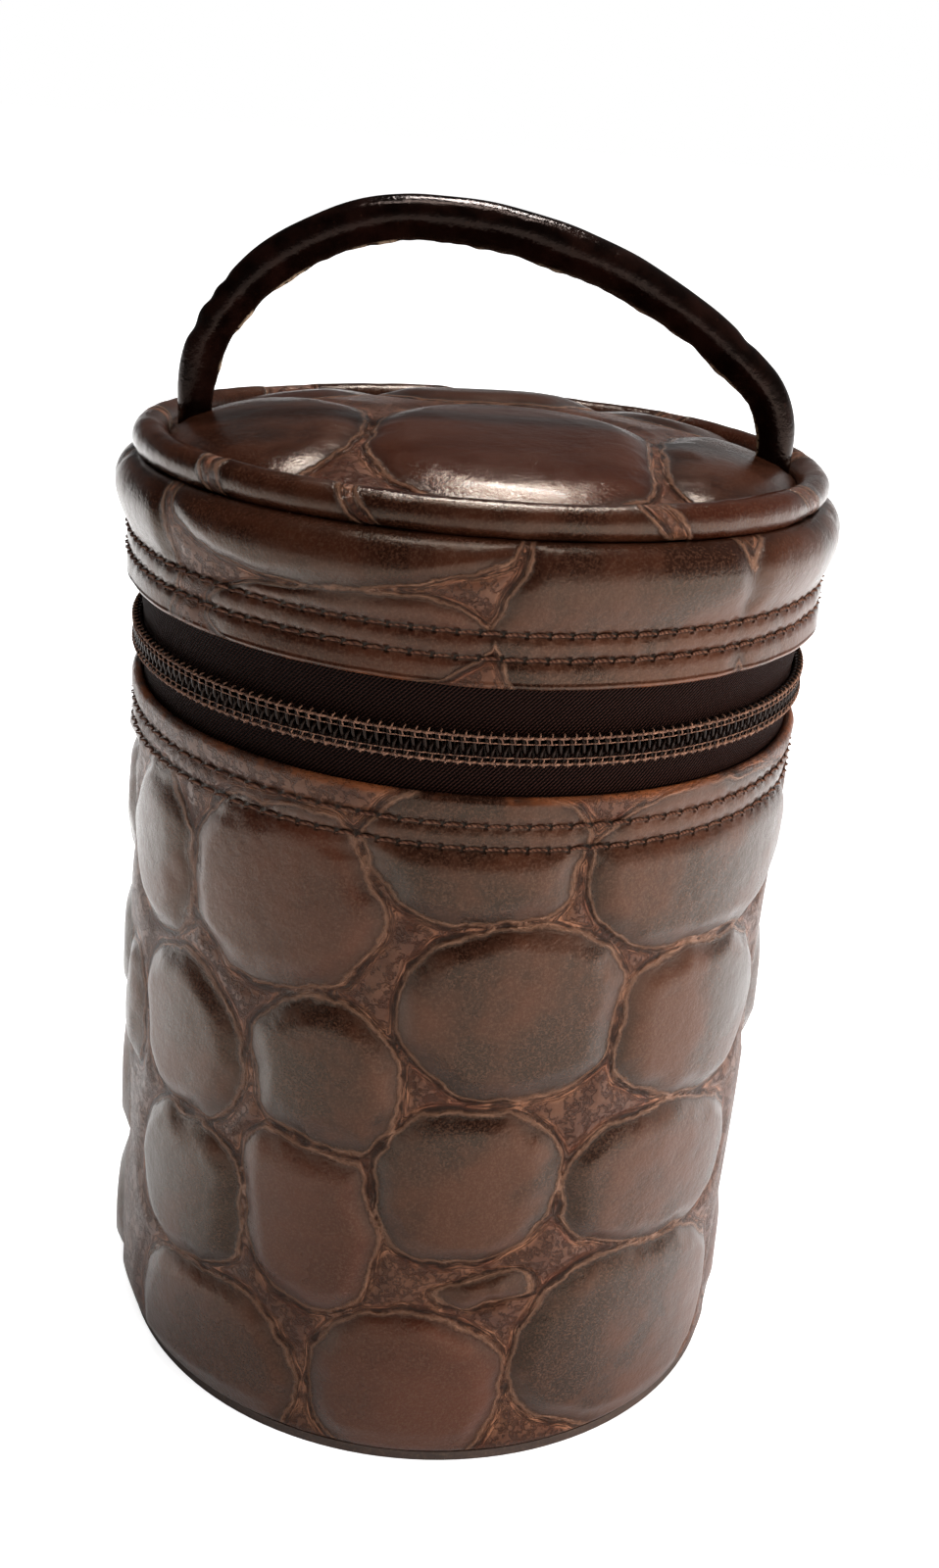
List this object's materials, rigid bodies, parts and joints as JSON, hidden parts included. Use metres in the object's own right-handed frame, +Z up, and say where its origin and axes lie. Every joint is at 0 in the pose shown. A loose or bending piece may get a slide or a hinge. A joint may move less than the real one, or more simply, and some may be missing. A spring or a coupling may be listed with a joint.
{
  "type": "dice cup",
  "caption": "Cylindrical leather dice cup with a padded, hinged lid that closes with a zip all round, and an arched carrying handle.",
  "frame": {"origin": "middle of the underside of the sole, which stands on z = 0", "axes": "+Z up along the cup; +Y towards the hinge at the back, so the front faces -Y; the handle arches along X"},
  "size_m": [0.0876, 0.0876, 0.1482],
  "materials": {
    "croc_leather": "glossy embossed",
    "edge_leather": "smooth, worn",
    "strap_leather": "glossy",
    "board": "matte",
    "lining": "matte",
    "felt": "napped",
    "foam": "open-cell foam",
    "thread": "waxed",
    "tape": "woven twill",
    "coil": "satin nylon",
    "cord": "twisted",
    "slider_metal": "antiqued"
  },
  "bodies": {
    "cup": {"cup_leather": "croc_leather", "cup_stiffener": "board", "cup_lining": "lining", "base_sole": "edge_leather", "base_board": "board", "base_felt": "felt", "cup_stitch_upper": "thread", "cup_stitch_lower": "thread", "zip_tape_lower": "tape", "zip_coil_lower": "coil", "hinge_panel": "croc_leather", "hinge_gusset": "tape"},
    "lid": {"lid_skirt_leather": "croc_leather", "lid_wadding": "foam", "lid_stiffener": "board", "lid_lining": "lining", "lid_board": "board", "lid_top_lining": "lining", "lid_top_leather": "croc_leather", "lid_padding": "foam", "lid_piping_leather": "croc_leather", "lid_piping_cord": "cord", "lid_stitch_lower": "thread", "lid_stitch_upper": "thread", "zip_tape_upper": "tape", "zip_coil_upper": "coil", "handle_roots": "strap_leather"},
    "handle": {"handle_leather": "strap_leather", "handle_core": "cord"},
    "zip_slider": {"slider_body": "slider_metal"},
    "zip_pull": {"pull_tab": "slider_metal"}
  },
  "joints": [
    {"name": "lid_hinge", "type": "hinge", "parent": "cup", "child": "lid", "pos_m": [0, 0.0412, 0.096], "axis": [-1, 0, 0], "range_deg": [0, 115], "deforming": ["hinge_panel", "hinge_gusset"]},
    {"name": "handle_swing", "type": "hinge", "parent": "lid", "child": "handle", "pos_m": [0, 0, 0.1229], "axis": [1, 0, 0], "range_deg": [-60, 60], "stiffness_Nm_per_rad": 0.02},
    {"name": "slider_travel", "type": "hinge", "parent": "cup", "child": "zip_slider", "pos_m": [0, 0, 0.096], "axis": [0, 0, -1], "range_deg": [0, 268]},
    {"name": "pull_swing", "type": "hinge", "parent": "zip_slider", "child": "zip_pull", "pos_m": [0.03172, 0.03063, 0.096], "axis": [0, 0, -1], "range_deg": [0, 165]}
  ]
}
